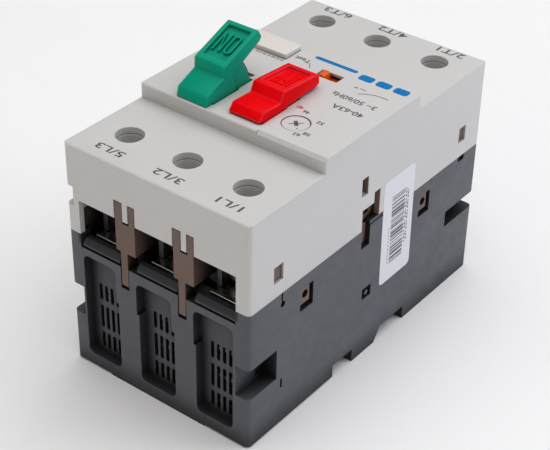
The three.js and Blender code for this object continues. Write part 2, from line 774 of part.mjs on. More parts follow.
// The lever stands about its pivot in the pressed position, (y, z) from the pivot.
const LEVER_TOP = { y: 12, z: 10.6, slope: -1.3 / 17 }; // edge of the plate's top over the step
const LEVER_RECESS = { y: [14.1, 27.3], half: 4.3, depth: 1.2 };

function lever() {
  const top = (y) => LEVER_TOP.z + LEVER_TOP.slope * (y - LEVER_TOP.y);
  const upper = [
    [-0.1, 5.2],
    [1.9, 7.65],
    [2.2, 7.75],
    [10.1, 7.4],
    [11.6, 10.3],
    [LEVER_TOP.y, LEVER_TOP.z],
    [28.7, top(28.7)],
    [29.1, 8.9],
    [29.4, 6.1],
    [28, 5.3],
    [13.2, 5.1],
    [12.7, -0.8],
    [2.8, 0.9],
    [2.8, 3.8],
    [1.2, 4.65],
  ].reverse();
  const skirt = [
    ...arc(0, 0, LEVER_SKIRT_R, -16, 18, 8),
    [17.7, 5.6],
    [2.8, 3.6],
    [2.8, 1.4],
    ...arc(0, 0, LEVER_HUB_R, 70, 270, 10),
  ];
  const [y0, y1] = LEVER_RECESS.y;
  const recess = [
    [y0, top(y0) - LEVER_RECESS.depth],
    [y1, top(y1) - LEVER_RECESS.depth],
    [y1, top(y1) + 1],
    [y0, top(y0) + 1],
  ];
  const body = joined([
    prismX(upper, around(0, LEVER_W / 2)),
    prismX(skirt, around(0, LEVER_SKIRT_W / 2)),
  ]);
  return cut(body, [
    prismX(recess, around(0, LEVER_RECESS.half)),
    cylinder('x', PIN_BORE_R, around(0, LEVER_W), [0, 0], 16),
  ]);
}
add('on_lever', lever(), GREEN, {
  position: [ON_X, LEVER_PIVOT.y, LEVER_PIVOT.z],
  rotation: [THREE.MathUtils.degToRad(LEVER_THROW), 0, 0],
});
add('off_lever', lever(), RED, { position: [OFF_X, LEVER_PIVOT.y, LEVER_PIVOT.z] });
add('lever_spring', springGeometry(2.4, 0.7, 20.6, 5), STEEL, { position: [ON_X, -14.5, 60.3] });

const ROCKER = { y: -12.5, z: 66 };
const ROCKER_PIN_R = 1.2;

function mechanismFrame() {
  const plates = [[-8.8, -7.8], [-4.2, -3.2]].map((x) => box(x, [-19, -4.2], [58, 75]));
  const web = box([-8.8, -3.2], [-5.2, -4.2], [58, 75]);
  const bore = cylinder('x', ROCKER_PIN_R + GAP, [-10, -2], [ROCKER.y, ROCKER.z], 16);
  return cut(joined([...plates, web]), [bore]);
}
add('mechanism_frame', mechanismFrame(), STEEL);

function driveRocker() {
  const outline = [
    ...arc(0, 0, 2.2, -60, 60, 6),
    [0.9, 7],
    [-0.9, 7],
    ...arc(0, 0, 2.2, 120, 160, 3),
    [-7.6, -5],
    [-6.4, -6.8],
  ];
  const body = prismX(outline, [-7.3, -4.7]);
  return joined([body, cylinder('x', ROCKER_PIN_R, [-8.7, -3.3], [0, 0], 16)]);
}
add('drive_rocker', driveRocker(), BLACK, { position: [0, ROCKER.y, ROCKER.z] });

// ---------------------------------------------------------------- controls on the front
function currentDial() {
  const a = THREE.MathUtils.degToRad(DIAL.angle);
  const z = [80.2, CENTRE_Z - 0.1];
  const knob = cylinder('z', DIAL.r, z, [0, 0], 32);
  const slots = [
    box(around(0, 1.55), around(0, 0.6), [z[1] - 1.4, z[1] + 1]),
    box(around(0, 0.25), around(0, 2.2), [z[1] - 0.6, z[1] + 1]),
    cylinder('z', 0.3, [z[1] - 0.5, z[1] + 1], [2.9, 0], 10),
  ];
  const shape = geometryOf(cut(knob, slots));
  shape.rotateZ(a);
  return shape;
}
add('current_dial', currentDial(), LIGHT_GREY, { position: [DIAL.x, DIAL.y, 0] });

function testSlider() {
  const plate = box([0.5, 12], [9.6, 16.1], [81.3, 83.2]);
  const nub = prismY([[3.6, 83], [6.4, 83], [6.1, 85.6], [5.6, 86], [4.3, 86], [3.8, 85.6]], [11.1, 14.6]);
  return plate.add(nub);
}
add('test_slider', testSlider(), ORANGE);

const MARKER = { x: [-28, -10], y: [12.9, 21.5], seat: 0.8, rise: 1.5 };
add(
  'marker_plate',
  prismZ(roundedRect(MARKER.x, MARKER.y, 0.6), [CENTRE_Z - MARKER.seat + GAP, CENTRE_Z + MARKER.rise]),
  WHITE,
);

// ---------------------------------------------------------------- rail latch
function railLatch() {
  const web = box([-6, 6], [21.3, 56.2], [0.4, 3.9]);
  const flanges = box([-8, 8], [21.3, 56.2], [1.9, 3.9]);
  const nose = prismX([[18.4, 3.7], [18.4, 2.7], [20, 1.9], [22, 1.9], [22, 3.7]].reverse(), [-8, 8]);
  const pocket = box([-3, 3], [32, 46], [-1, 5]);
  const grip = box([-3, 3], [50.5, 53.5], [-1, 2.4]);
  return cut(joined([web, flanges, nose]), [pocket, grip]);
}
add('din_latch', railLatch(), BLACK);
add('din_latch_spring', springGeometry(1.1, 0.45, 10.2, 5), STEEL, {
  position: [0, 43, 2.6],
  rotation: [Math.PI / 2, 0, 0],
});

export default root;
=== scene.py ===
"""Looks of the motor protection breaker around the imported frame.

Finishes of the CAD nodes, prints, a sticker, raised words, coil springs, light and camera.
"""
import json
import math

import bmesh
import bpy
from mathutils import Matrix, Vector


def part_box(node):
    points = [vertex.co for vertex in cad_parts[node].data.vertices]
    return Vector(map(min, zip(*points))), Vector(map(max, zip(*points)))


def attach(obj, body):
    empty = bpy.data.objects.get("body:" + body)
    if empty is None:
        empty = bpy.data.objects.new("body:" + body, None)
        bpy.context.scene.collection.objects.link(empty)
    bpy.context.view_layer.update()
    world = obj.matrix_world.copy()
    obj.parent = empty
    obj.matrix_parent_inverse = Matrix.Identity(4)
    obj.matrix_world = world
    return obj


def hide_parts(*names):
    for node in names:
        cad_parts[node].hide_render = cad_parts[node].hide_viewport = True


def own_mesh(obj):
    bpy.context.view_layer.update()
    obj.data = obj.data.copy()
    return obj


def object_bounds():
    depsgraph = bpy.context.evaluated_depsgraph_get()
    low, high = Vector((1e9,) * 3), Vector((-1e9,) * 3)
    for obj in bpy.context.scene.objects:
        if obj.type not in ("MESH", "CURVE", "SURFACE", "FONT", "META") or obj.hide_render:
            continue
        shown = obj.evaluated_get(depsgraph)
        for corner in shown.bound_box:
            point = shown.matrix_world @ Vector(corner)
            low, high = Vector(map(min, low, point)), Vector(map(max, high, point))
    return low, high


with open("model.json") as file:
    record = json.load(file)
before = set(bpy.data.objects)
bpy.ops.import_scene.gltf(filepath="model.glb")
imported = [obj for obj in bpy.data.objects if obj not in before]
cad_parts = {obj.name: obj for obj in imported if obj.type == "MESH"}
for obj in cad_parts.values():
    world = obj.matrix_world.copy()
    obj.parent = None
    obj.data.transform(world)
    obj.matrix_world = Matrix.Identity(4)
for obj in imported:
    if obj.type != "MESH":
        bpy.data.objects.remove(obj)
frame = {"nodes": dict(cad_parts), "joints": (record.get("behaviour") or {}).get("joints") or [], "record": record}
CAD_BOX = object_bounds()
RECORD = frame["record"]
MM = 0.001  # a value with * MM is in metres, a length without it is in mm

# ---------------------------------------------------------------- places taken from the frame
COVER_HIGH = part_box("front_cover")[1]
CENTRE_Z = COVER_HIGH.z
END_Y = COVER_HIGH.y
SIDE_X = COVER_HIGH.x
OPENINGS = {o["name"]: o["box_m"] for o in RECORD["physics"]["openings"]}
PLATFORM_Z = OPENINGS["line_screwdriver_hole_1"][1][2]
JOINTS = {j["name"]: j for j in frame["joints"]}
SLOT_OF = {s["node"]: s["material_slot"] for s in RECORD["subparts"]}
POLES = (1, 2, 3)
LEVERS = ("on_lever", "off_lever")


def middle(node):
    low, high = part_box(node)
    return (low + high) / 2


def at_lever_pivot(lever):
    """The frame of a lever about its pivot, turned as the lever stands at rest."""
    joint = JOINTS[f"{lever}_hinge"]
    turn = math.radians(-joint["range_deg"][0])
    return Matrix.Translation(Vector(joint["pos_m"])) @ Matrix.Rotation(turn, 4, "X")


# ---------------------------------------------------------------- materials
BAND_SHADE = 0.28  # what is left of the colour in the shade under the cover
BAND_FADE = 0.2 * MM  # over this distance the painted shade on the lips ends sideways
SHADER_SAMPLES = 6
EDGE_LIFT = 30  # how much lighter an edge of plastic is, in 0 to 255: worn, and a painted highlight
THIN_INK_LIFT = 14  # the same for thin places of the ink


def linear(rgb):
    """Linear colour of an sRGB triple in 0 to 255."""
    out = []
    for value in rgb:
        c = value / 255
        out.append(c / 12.92 if c <= 0.04045 else ((c + 0.055) / 1.055) ** 2.4)
    return out


def shade(rgb, factor):
    return [min(1.0, c * factor) for c in rgb]


def lighter(rgb, lift):
    return [min(255, c + lift) for c in rgb]


class Nodes:
    """A material's node tree, with short calls to add and join nodes."""

    def __init__(self, name):
        self.material = bpy.data.materials.new(name)
        self.material.use_nodes = True
        self.tree = self.material.node_tree
        self.shader = self.tree.nodes["Principled BSDF"]
        self.place = self.add("ShaderNodeTexCoord").outputs["Object"]

    def add(self, kind, **values):
        node = self.tree.nodes.new(kind)
        for key, value in values.items():
            setattr(node, key, value)
        return node

    def link(self, source, target):
        self.tree.links.new(source, target)

    def noise(self, scale, detail=2.0, rough=0.5, stretch=None):
        node = self.add("ShaderNodeTexNoise")
        node.inputs["Scale"].default_value = scale
        node.inputs["Detail"].default_value = detail
        node.inputs["Roughness"].default_value = rough
        if stretch is None:
            self.link(self.place, node.inputs["Vector"])
        else:
            mapping = self.add("ShaderNodeMapping")
            mapping.inputs["Scale"].default_value = stretch
            self.link(self.place, mapping.inputs["Vector"])
            self.link(mapping.outputs["Vector"], node.inputs["Vector"])
        return node.outputs["Fac"]

    def spread(self, source, low, high, start=0.3, end=0.7):
        node = self.add("ShaderNodeMapRange")
        node.inputs["From Min"].default_value = start
        node.inputs["From Max"].default_value = end
        node.inputs["To Min"].default_value = low
        node.inputs["To Max"].default_value = high
        self.link(source, node.inputs["Value"])
        return node.outputs["Result"]

    def mix(self, factor, a, b, blend="MIX"):
        node = self.add("ShaderNodeMix", data_type="RGBA", blend_type=blend)
        for value, label in ((factor, "Factor"), (a, "A"), (b, "B")):
            socket = node.inputs[label]
            if isinstance(value, (int, float)):
                socket.default_value = value
            elif isinstance(value, (list, tuple)):
                socket.default_value = (*value, 1)
            else:
                self.link(value, socket)
        return node.outputs["Result"]

    def rounded(self, radius):
        """The normal of a surface whose edges are rounded by that radius."""
        bevel = self.add("ShaderNodeBevel", samples=SHADER_SAMPLES)
        bevel.inputs["Radius"].default_value = radius
        return bevel.outputs["Normal"]

    def edge_wear_and_highlight(self, rounded, gain):
        """Up to gain on an edge, 0 on a flat: how far the rounded normal leaves the true one. It marks worn edges
        and their painted highlight.
        """
        dot = self.add("ShaderNodeVectorMath", operation="DOT_PRODUCT")
        self.link(rounded, dot.inputs[0])
        self.link(self.add("ShaderNodeNewGeometry").outputs["Normal"], dot.inputs[1])
        return self.spread(dot.outputs["Value"], gain, 0, 0.8, 0.995)

    def hollow(self, reach, deep, open_at):
        """1 in the open, falling to 0 deep inside a gap or a corner: the mask of the painted shade in hollows."""
        shut = self.add("ShaderNodeAmbientOcclusion", samples=SHADER_SAMPLES)
        shut.inputs["Distance"].default_value = reach
        return self.spread(shut.outputs["AO"], 0, 1, deep, open_at)

    def product(self, a, b):
        node = self.add("ShaderNodeMath", operation="MULTIPLY")
        self.link(a, node.inputs[0])
        self.link(b, node.inputs[1])
        return node.outputs[0]

    def height_band(self, low, full, reach):
        """Rises from 0 at the height low to 1 at full, within reach of the middle plane: the mask of a painted
        shade.
        """
        split = self.add("ShaderNodeSeparateXYZ")
        self.link(self.place, split.inputs[0])
        rise = self.spread(split.outputs["Z"], 0, 1, low, full)
        across = self.product(split.outputs["X"], split.outputs["X"])
        return self.product(rise, self.spread(across, 1, 0, (reach - BAND_FADE) ** 2, reach ** 2))

    def bump(self, height, strength, distance, under=None):
        node = self.add("ShaderNodeBump")
        node.inputs["Strength"].default_value = strength
        node.inputs["Distance"].default_value = distance
        self.link(height, node.inputs["Height"])
        if under is not None:
            self.link(under, node.inputs["Normal"])
        return node.outputs["Normal"]

    def finish(self, colour, roughness, normal, specular=0.5, metallic=0.0):
        self.link(colour, self.shader.inputs["Base Color"])
        self.link(roughness, self.shader.inputs["Roughness"])
        self.link(normal, self.shader.inputs["Normal"])
        self.shader.inputs["Specular IOR Level"].default_value = specular
        self.shader.inputs["Metallic"].default_value = metallic
        return self.material


def plastic(name, rgb, roughness, grain=0.12, tint=0.05, edge_wear_and_highlight=0.3, specular=0.4, edge=0.25, hollow_shade=0.3,
            hollow=(7, 0.15, 0.85), edge_rgb=None, shade_band=None):
    """Moulded plastic: cloudy tint, fine grain, edges lighter as worn and as a painted highlight,
    painted shade in hollows and maybe a strip of painted shade.

    edge is the radius in mm to which edges look rounded. hollow is the reach in mm of the painted shade
    in gaps, then how open a place is where the painted shade is full and where it ends. hollow_shade is
    how much darker that painted shade makes the colour. shade_band is the height at which the painted
    shade on the lips starts, the height at which it is full, and its reach sideways.
    """
    n = Nodes(name)
    base = linear(rgb)
    cloud = n.spread(n.noise(45, 4), 0, 1)
    colour = n.mix(cloud, shade(base, 1 - tint), shade(base, 1 + tint))
    speck = n.spread(n.noise(2600, 2), 0, 1, 0.35, 0.65)
    colour = n.mix(speck, colour, n.mix(0.5, colour, shade(base, 1 - 2 * tint)))
    rounded_edge = n.rounded(edge * MM)
    # edges lighter: partly worn, partly a painted highlight, pink on the red lever and pale green on the green one
    colour = n.mix(n.edge_wear_and_highlight(rounded_edge, edge_wear_and_highlight), colour, linear(edge_rgb or lighter(rgb, EDGE_LIFT)))
    reach, deep, open_at = hollow
    # painted shade: the colour goes darker deep in gaps, corners and recesses
    colour = n.mix(n.hollow(reach * MM, deep, open_at), shade(base, 1 - hollow_shade), colour)
    # painted shade: the tops of the lips darkened in place of the shadow of the cover over them
    if shade_band is not None:
        colour = n.mix(n.height_band(*shade_band), colour, shade(base, BAND_SHADE))
    rough = n.spread(n.noise(300, 3), roughness - 0.07, roughness + 0.07)
    wide = n.bump(n.noise(500, 3), 0.25 * grain, 0.2 * MM, under=rounded_edge)
    fine = n.bump(n.noise(3800, 2), grain, 0.06 * MM, under=wide)
    return n.finish(colour, rough, fine, specular)


def metal(name, rgb, roughness, stretch, dirt=0.25):
    """Plated metal: drawn streaks, dull patches and darker stains."""
    n = Nodes(name)
    base = linear(rgb)
    streak = n.noise(900, 3, 0.6, stretch)
    patch = n.spread(n.noise(220, 4), 0, 1)
    colour = n.mix(patch, shade(base, 1 - dirt), base)
    rounded_edge = n.rounded(0.15 * MM)
    # edges lighter: partly worn, partly a painted highlight
    colour = n.mix(n.edge_wear_and_highlight(rounded_edge, 0.5), colour, shade(base, 1.25))
    rough = n.spread(streak, roughness - 0.1, roughness + 0.12)
    normal = n.bump(streak, 0.15, 0.03 * MM, under=rounded_edge)
    return n.finish(colour, rough, normal, 0.5, 1.0)


def ink(name, rgb):
    """Pad-printed ink, a little thin in places."""
    n = Nodes(name)
    base = linear(rgb)
    thin = n.spread(n.noise(1500, 3), 0, 1, 0.35, 0.7)
    colour = n.mix(thin, base, linear(lighter(rgb, THIN_INK_LIFT)))
    rough = n.spread(n.noise(800, 2), 0.47, 0.63)
    return n.finish(colour, rough, n.bump(n.noise(2500, 2), 0.08, 0.03 * MM), 0.12)


LIP_SHADE_BAND = (45.9 * MM, 46.8 * MM, 31 * MM)  # painted shade on the sloping tops of the lips under the terminal windows, for the cover's shadow
DRAWN_DOWN = (1, 1, 0.06)  # the noise stretched along Z, so streaks run up and down
DRAWN_ACROSS = (0.06, 1, 1)  # streaks along X

LOOKS = {
    "cover_light": plastic(
        "cover_light", (208, 207, 205), 0.5, grain=0.1, tint=0.015, edge_wear_and_highlight=0.5, specular=0.22, hollow_shade=0.35),
    "housing_dark": plastic(
        "housing_dark", (88, 90, 96), 0.5, grain=0.16, edge_wear_and_highlight=0.4, specular=0.3, hollow_shade=0.88,
        hollow=(10, 0.55, 1.0), shade_band=LIP_SHADE_BAND),
    "frame_brown": plastic(
        "frame_brown", (120, 100, 91), 0.55, grain=0.14, tint=0.08, specular=0.2, hollow_shade=0.92,
        hollow=(12, 0.45, 0.9)),
    "lever_green": plastic(
        "lever_green", (0, 158, 126), 0.36, grain=0.05, tint=0.04, edge_wear_and_highlight=0.9, specular=0.08, edge=0.9,
        hollow_shade=0.45, hollow=(4, 0.2, 0.8), edge_rgb=(56, 190, 160)),
    "lever_red": plastic(
        "lever_red", (244, 0, 10), 0.36, grain=0.05, tint=0.03, edge_wear_and_highlight=0.9, specular=0.04, edge=0.9,
        hollow=(3, 0.1, 0.8), edge_rgb=(255, 96, 116)),
    "slider_orange": plastic(
        "slider_orange", (240, 96, 12), 0.4, grain=0.06, tint=0.06, specular=0.2, hollow_shade=0.35,
        hollow=(3, 0.05, 0.6)),
    "marker_white": plastic(
        "marker_white", (226, 221, 213), 0.4, grain=0.05, tint=0.015, specular=0.25, hollow_shade=0.2),
    "mechanism_black": plastic("mechanism_black", (40, 41, 44), 0.5, tint=0.08),
    "steel": metal("steel", (186, 188, 190), 0.34, DRAWN_DOWN),
    "copper": metal("copper", (196, 120, 82), 0.36, DRAWN_ACROSS),
    "copper_plated": metal("copper_plated", (226, 224, 214), 0.26, DRAWN_ACROSS, 0.12),
}
CAGE_STEEL = metal("cage_steel", (104, 104, 108), 0.5, DRAWN_DOWN)
EDGE_BROWN = plastic(
    "edge_brown", (132, 104, 90), 0.55, grain=0.14, tint=0.08, specular=0.2, hollow=(3, 0.0, 0.6))
WORD_LOOKS = {
    "on_lever": plastic(
        "word_green", (0, 158, 126), 0.36, grain=0.05, tint=0.04, specular=0.06, hollow_shade=0.45,
        hollow=(4, 0.2, 0.8), edge_rgb=(60, 190, 160)),
    "off_lever": plastic(
        "word_red", (240, 0, 10), 0.36, grain=0.05, tint=0.03, edge_wear_and_highlight=0.15, specular=0.04,
        hollow=(3, 0.1, 0.8)),
}
# a tan much lighter than the frame's brown, for the case's edge behind the levers: painted highlight
CASE_LIT_TAN = plastic("case_lit_tan", (206, 188, 170), 0.5, specular=0.2, hollow_shade=0.5, hollow=(3, 0.0, 0.5))
INK_GREY = ink("ink_grey", (84, 86, 88))
INK_PALE = ink("ink_pale", (150, 150, 152))
INK_RED = ink("ink_red", (196, 40, 44))
INK_BLUE = ink("ink_blue", (0, 112, 178))


def sticker_paper():
    n = Nodes("sticker_paper")
    base = linear((226, 228, 233))
    fibre = n.spread(n.noise(1800, 4), 0, 1)
    colour = n.mix(fibre, shade(base, 0.97), base)
    rough = n.spread(n.noise(120, 2), 0.32, 0.44)
    return n.finish(colour, rough, n.bump(n.noise(160, 3), 0.12, 0.1 * MM), 0.45)


STICKER = sticker_paper()

# ---------------------------------------------------------------- CAD nodes: finish and softened edges
MOULDED_EDGE = (0.25, 3)  # width in mm and segments. At 0.3 mm the levers cross their pivot pin
STAMPED_EDGE = (0.2, 2)
ROUNDED = {name: MOULDED_EDGE for name in (*LEVERS, "marker_plate")}
for pole in POLES:
    ROUNDED[f"line_bar_{pole}"] = STAMPED_EDGE
    ROUNDED[f"load_bar_{pole}"] = STAMPED_EDGE
FACET_ANGLE = 32  # a sharper edge between two faces stays an edge
ROUNDED_ANGLE = 35  # a sharper edge of a rounded piece gets its bevel
FLAT_ANGLE = 0.5  # faces that differ by less are one flat
WELD_GAP = 0.001 * MM


def shading_group():
    """Smooth over the facets of a curve, sharp over its edges."""
    tree = bpy.data.node_groups.new("shading", "GeometryNodeTree")
    tree.interface.new_socket("Geometry", in_out="INPUT", socket_type="NodeSocketGeometry")
    tree.interface.new_socket("Geometry", in_out="OUTPUT", socket_type="NodeSocketGeometry")
    start = tree.nodes.new("NodeGroupInput")
    end = tree.nodes.new("NodeGroupOutput")
    angle = tree.nodes.new("GeometryNodeInputMeshEdgeAngle")
    small = tree.nodes.new("FunctionNodeCompare")
    small.data_type = "FLOAT"
    small.operation = "LESS_THAN"
    small.inputs["B"].default_value = math.radians(FACET_ANGLE)
    faces = tree.nodes.new("GeometryNodeSetShadeSmooth")
    faces.domain = "FACE"
    edges = tree.nodes.new("GeometryNodeSetShadeSmooth")
    edges.domain = "EDGE"
    tree.links.new(start.outputs["Geometry"], faces.inputs["Geometry"])
    tree.links.new(faces.outputs["Geometry"], edges.inputs["Geometry"])
    tree.links.new(angle.outputs["Unsigned Angle"], small.inputs["A"])
    tree.links.new(small.outputs["Result"], edges.inputs["Shade Smooth"])
    tree.links.new(edges.outputs["Geometry"], end.inputs["Geometry"])
    return tree


SHADING = shading_group()


def weld(node):
    node.modifiers.new("weld", "WELD").merge_threshold = WELD_GAP


def joined_facets(node):
    weld(node)
    shading = node.modifiers.new("shading", "NODES")
    shading.node_group = SHADING


def soften(node, width, segments):
    """Joins the facets of each flat, then rounds the edges between them."""
    weld(node)
    flat = node.modifiers.new("flats", "DECIMATE")
    flat.decimate_type = "DISSOLVE"
    flat.angle_limit = math.radians(FLAT_ANGLE)
    bevel = node.modifiers.new("edges", "BEVEL")
    bevel.width = width * MM
    bevel.segments = segments
    bevel.limit_method = "ANGLE"
    bevel.angle_limit = math.radians(ROUNDED_ANGLE)
    bevel.harden_normals = True
    bevel.use_clamp_overlap = False
    node.data.polygons.foreach_set("use_smooth", [True] * len(node.data.polygons))


def own_look(name):
    """The finish of a node that differs from the rest of its slot; for the mechanism case a light tan that paints
    a highlight.
    """
    if "clamp_cage" in name:
        return CAGE_STEEL
    if name == "mechanism_case":
        return CASE_LIT_TAN
    return None


for name, node in frame["nodes"].items():
    node.data.materials.clear()
    node.data.materials.append(own_look(name) or LOOKS[SLOT_OF[name]])
    if name in ROUNDED:
        soften(node, *ROUNDED[name])
    else:
        joined_facets(node)


# ---------------------------------------------------------------- small shapes
YZ_PLANE = Matrix(((0, 0, 1, 0), (1, 0, 0, 0), (0, 1, 0, 0), (0, 0, 0, 1)))  # its Z is the object's X
CORNER_STEPS = 5


def piece(name, mesh, body, material):
    obj = bpy.data.objects.new(name, mesh)
    bpy.context.scene.collection.objects.link(obj)
    mesh.materials.append(material)
    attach(obj, body)
    return obj


def prism(name, outlines, thickness, matrix, body, material, slot_name):
    """Thin solids over closed outlines in mm in the matrix's XY plane, rising along its Z."""
    bm = bmesh.new()
    for outline in outlines:
        low = [bm.verts.new(matrix @ Vector((a * MM, b * MM, 0))) for a, b in outline]
        high = [bm.verts.new(matrix @ Vector((a * MM, b * MM, thickness))) for a, b in outline]
        bm.faces.new(list(reversed(low)))
        bm.faces.new(high)
        for i in range(len(outline)):
            j = (i + 1) % len(outline)
            bm.faces.new((low[i], low[j], high[j], high[i]))
    bmesh.ops.recalc_face_normals(bm, faces=bm.faces)
    mesh = bpy.data.meshes.new(name)
    bm.to_mesh(mesh)
    bm.free()
    return piece(name, mesh, body, material)


def rectangle(a0, a1, b0, b1):
    return [(a0, b0), (a1, b0), (a1, b1), (a0, b1)]


def rounded_rectangle(a0, a1, b0, b1, r):
    corners = (
        (a1 - r, b0 + r, -90),
        (a1 - r, b1 - r, 0),
        (a0 + r, b1 - r, 90),
        (a0 + r, b0 + r, 180),
    )
    points = []
    for cx, cy, start in corners:
        for i in range(CORNER_STEPS + 1):
            t = math.radians(start + 90 * i / CORNER_STEPS)
            points.append((cx + r * math.cos(t), cy + r * math.sin(t)))
    return points


def stroke(points, width):
    """An open line of that width as one outline."""
    left, right = [], []
    for i, (a, b) in enumerate(points):
        before = points[max(0, i - 1)]
        after = points[min(len(points) - 1, i + 1)]
        along = Vector((after[0] - before[0], after[1] - before[1])).normalized()
        left.append((a - along.y * width / 2, b + along.x * width / 2))
        right.append((a + along.y * width / 2, b - along.x * width / 2))
    return right + list(reversed(left))


PRINT_T = 0.03 * MM
PRINT_BOLD = 0.05 * MM  # how far the letters are widened on each side
CAP_SHARE = 0.7  # height of a capital over the font's size


def print_plane(x, y, z, turn=180):
    return Matrix.Translation((x, y, z)) @ Matrix.Rotation(math.radians(turn), 4, "Z")


def lettering(name, words, height, stretch, matrix, body, material, slot_name):
    """Words centred on the matrix's origin, made wider by stretch, as a thin solid mesh."""
    curve = bpy.data.curves.new(name, "FONT")
    curve.body = words
    curve.size = height / CAP_SHARE
    curve.align_x = "CENTER"
    curve.align_y = "CENTER"
    curve.extrude = PRINT_T / 2
    curve.offset = PRINT_BOLD
    curve.resolution_u = 3
    obj = bpy.data.objects.new(name + "_curve", curve)
    bpy.context.scene.collection.objects.link(obj)
    bpy.context.view_layer.update()
    mesh = bpy.data.meshes.new_from_object(obj.evaluated_get(bpy.context.evaluated_depsgraph_get()))
    bpy.data.objects.remove(obj)
    mesh.name = name
    mesh.transform(Matrix.Translation((0, 0, PRINT_T / 2)) @ Matrix.Diagonal((stretch, 1, 1, 1)))
    mesh.transform(matrix)
    mesh.materials.clear()
    return piece(name, mesh, body, material)


# ---------------------------------------------------------------- prints on the front, and a painted shadow round the dial
def print_with(material):
    """What the prints of one colour have in common."""
    return {"body": "root", "material": material, "slot_name": "mechanism_black"}


GREY_PRINT = print_with(INK_GREY)
PALE_PRINT = print_with(INK_PALE)
RED_PRINT = print_with(INK_RED)
BLUE_PRINT = print_with(INK_BLUE)

LINE_NAMES = {1: "1/L1", 2: "3/L2", 3: "5/L3"}
LOAD_NAMES = {1: "2/T1", 2: "4/T2", 3: "6/T3"}
MARK_FROM_END = 5.6 * MM
LINE_MARK_SHIFT = 1.2 * MM  # from the middle of the pole
LOAD_MARK_SHIFT = 0.3 * MM


def terminal_marks():
    for pole in POLES:
        x = middle(f"line_screw_{pole}").x
        at = print_plane(x + LINE_MARK_SHIFT, -END_Y + MARK_FROM_END, PLATFORM_Z)
        lettering(f"mark_line_{pole}", LINE_NAMES[pole], 2.9 * MM, 1.5, at, **GREY_PRINT)
        at = print_plane(x + LOAD_MARK_SHIFT, END_Y - 0.5 * MARK_FROM_END, PLATFORM_Z)
        lettering(f"mark_load_{pole}", LOAD_NAMES[pole], 3.0 * MM, 1.38, at, **GREY_PRINT)


DIAL = middle("current_dial")
# number, angle about the dial and distance from its middle in mm
DIAL_MARKS = (("40", 119, 9.4), ("46", 102, 7.2), ("52", 39, 7.2), ("58", -26, 6.9), ("63", -51, 6.3))
FIRST_NUMBER = DIAL_MARKS[0][0]
DIAL_SHADOW_RADIUS = 4.3
DIAL_SHADOW_ANGLES = range(30, 196, 11)
DIAL_SHADOW_WIDTH = 0.32


def dial_marks():
    for words, angle, radius in DIAL_MARKS:
        a = math.radians(angle)
        at = print_plane(DIAL.x + radius * MM * math.cos(a), DIAL.y + radius * MM * math.sin(a), CENTRE_Z)
        colour = RED_PRINT if words == FIRST_NUMBER else GREY_PRINT
        lettering(f"dial_number_{words}", words, 1.5 * MM, 1.1, at, **colour)
    # a grey arc round the far side of the dial, in the grey ink: painted shadow of the gap round the dial
    angles = [math.radians(t) for t in DIAL_SHADOW_ANGLES]
    arc = [(DIAL_SHADOW_RADIUS * math.cos(a), DIAL_SHADOW_RADIUS * math.sin(a)) for a in angles]
    flat = Matrix.Translation((DIAL.x, DIAL.y, CENTRE_Z))
    prism("dial_shadow_line", [stroke(arc, DIAL_SHADOW_WIDTH)], PRINT_T, flat, **GREY_PRINT)


# piece, words, height of a capital in mm, stretch and middle in mm
PRINTED_WORDS = (
    ("print_supply", "3~ 50/60Hz", 2.3, 1.02, (21.8, 5.4)),
    ("print_range", "40-63A", 2.3, 1.12, (23.7, -0.7)),
    ("print_test", "Test", 2.0, 1.12, (-5.6, 16.3)),
)
# start and length in mm of the dashes that stand for very small print
SMALL_DASHES = (
    (-20.8, 1.1), (-19.2, 0.7), (-18, 1.4), (-16, 0.9), (-14.6, 1.5), (-12.6, 1.0), (-11.1, 1.3))


def front_prints():
    flat = print_plane(0, 0, CENTRE_Z, 0)
    prism("print_blue_strip", [rounded_rectangle(-3.5, 12.5, 19.35, 21.0, 0.8)], PRINT_T, flat, **BLUE_PRINT)
    blocks = [rounded_rectangle(x, x + 5.2, 17.0, 20.4, 1.1) for x in (14.4, 20.8, 27.2)]
    prism("print_blue_blocks", blocks, PRINT_T, flat, **BLUE_PRINT)
    symbol = [
        stroke([(17.0, 12.1), (18.2, 12.25)], 0.45),
        stroke([(18.9, 12.5), (21.1, 12.3)], 0.3),
        stroke([(20.2, 9.4), (22.2, 10.7), (24.7, 11.8), (27, 12.1), (29.4, 12.1)], 0.3),
    ]
    prism("print_contact_symbol", symbol, PRINT_T, flat, **GREY_PRINT)
    for name, words, height, stretch, (x, y) in PRINTED_WORDS:
        lettering(name, words, height * MM, stretch, print_plane(x * MM, y * MM, CENTRE_Z), **GREY_PRINT)
    leader = stroke([(-2.4, 15.8), (-1.5, 14.0), (-0.7, 13.0)], 0.22)
    prism("print_test_leader", [leader], PRINT_T, flat, **GREY_PRINT)
    dashes = [rectangle(x, x + length, 11.1, 12.1) for x, length in SMALL_DASHES]
    prism("print_small_line", dashes, PRINT_T, flat, **PALE_PRINT)


# ---------------------------------------------------------------- raised words on the levers
LEVER_TOP_AT = (12 * MM, 10.6 * MM)  # y and z of a point on the plate's top, about the pivot
LEVER_TOP_SLOPE = -1.3 / 17
RECESS_MIDDLE = (14.1 * MM + 27.3 * MM) / 2  # y of the middle of the recess that holds the word
RECESS_DEPTH = 1.2 * MM
WORD_SINK = 0.05 * MM  # how far the letters stand in the floor of the recess
WORD_BEVEL = 0.12 * MM
LETTER_HEIGHT = 7.8
LETTER_STROKE = 0.7
F_MIDDLE_RISE = 0.1  # middle bar of the F above the letter's middle, over its height
F_MIDDLE_SHORTER = 0.2
N_CORNER = 0.9
RING_STEPS = 12


